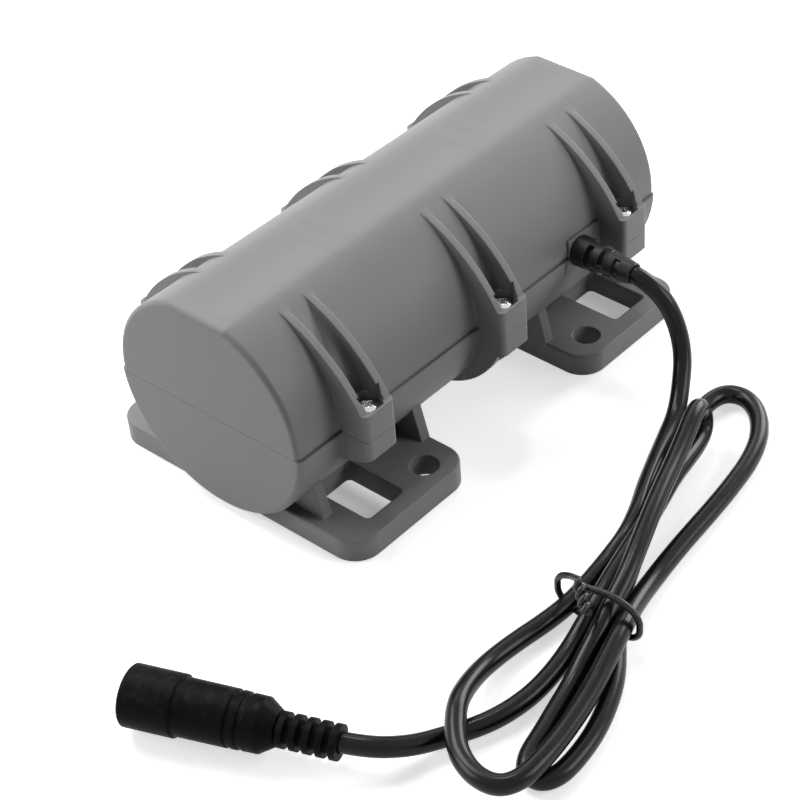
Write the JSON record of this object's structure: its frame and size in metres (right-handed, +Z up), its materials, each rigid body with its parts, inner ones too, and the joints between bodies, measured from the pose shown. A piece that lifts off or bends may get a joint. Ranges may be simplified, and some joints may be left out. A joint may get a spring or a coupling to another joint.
{
  "type": "vibration motor",
  "caption": "Vibration motor in a grey two-part moulded tube on slotted mounting feet, with eccentric weights on both shaft ends and a tied power cord ending in a round socket.",
  "frame": {"origin": "middle of the housing at the underside of the feet", "axes": "+X along the motor shaft towards the end beside the cord outlet, +Y away from the cord outlet, +Z up from the mounting surface"},
  "size_m": [0.1769, 0.1412, 0.0507],
  "materials": {
    "housing_plastic": "fine moulded grain, mid grey",
    "screw_steel": "bright zinc plate",
    "motor_steel": "drawn and plated steel",
    "stator_iron": "stacked laminations, varnished",
    "winding_copper": "enamelled copper wire",
    "insulator": "natural nylon",
    "board_green": "solder mask",
    "chip_black": "moulded epoxy",
    "shaft_steel": "ground steel",
    "magnet_black": "bonded magnet",
    "bearing_steel": "polished bearing steel",
    "weight_steel": "turned steel, oiled",
    "cord_black": "smooth soft vinyl jacket",
    "relief_black": "moulded vinyl",
    "wire_red": "vinyl insulation",
    "wire_black": "vinyl insulation",
    "tie_black": "coated steel wire",
    "jack_black": "satin moulding",
    "jack_insert": "hard insulator",
    "contact_metal": "nickel plated"
  },
  "bodies": {
    "housing": {"upper_cover": "housing_plastic", "lower_base": "housing_plastic", "cover_screws": "screw_steel", "motor_can": "motor_steel", "motor_front_cap": "motor_steel", "motor_rear_cap": "motor_steel", "preload_washer": "motor_steel", "stator_core": "stator_iron", "stator_coils": "winding_copper", "tooth_insulators": "insulator", "driver_board": "board_green", "board_parts": "chip_black", "front_bearing_outer": "bearing_steel", "rear_bearing_outer": "bearing_steel", "front_bearing_balls": "bearing_steel", "rear_bearing_balls": "bearing_steel", "lead_wire_red": "wire_red", "lead_wire_black": "wire_black", "strain_relief": "relief_black", "cord_root": "cord_black", "cord_lead": "cord_black", "cord_hank": "cord_black", "cord_tail": "cord_black", "wire_tie": "tie_black", "jack_shell": "jack_black", "jack_liner": "jack_insert", "jack_pin": "contact_metal", "jack_contact": "contact_metal"},
    "rotor": {"rotor_shaft": "shaft_steel", "rotor_core": "stator_iron", "rotor_magnet": "magnet_black", "front_bearing_inner": "bearing_steel", "rear_bearing_inner": "bearing_steel", "front_weight": "weight_steel", "rear_weight": "weight_steel", "front_set_screw": "screw_steel", "rear_set_screw": "screw_steel"}
  },
  "joints": [
    {"name": "rotor_spin", "type": "hinge", "parent": "housing", "child": "rotor", "pos_m": [0, 0, 0.027], "axis": [1, 0, 0], "continuous": true}
  ]
}
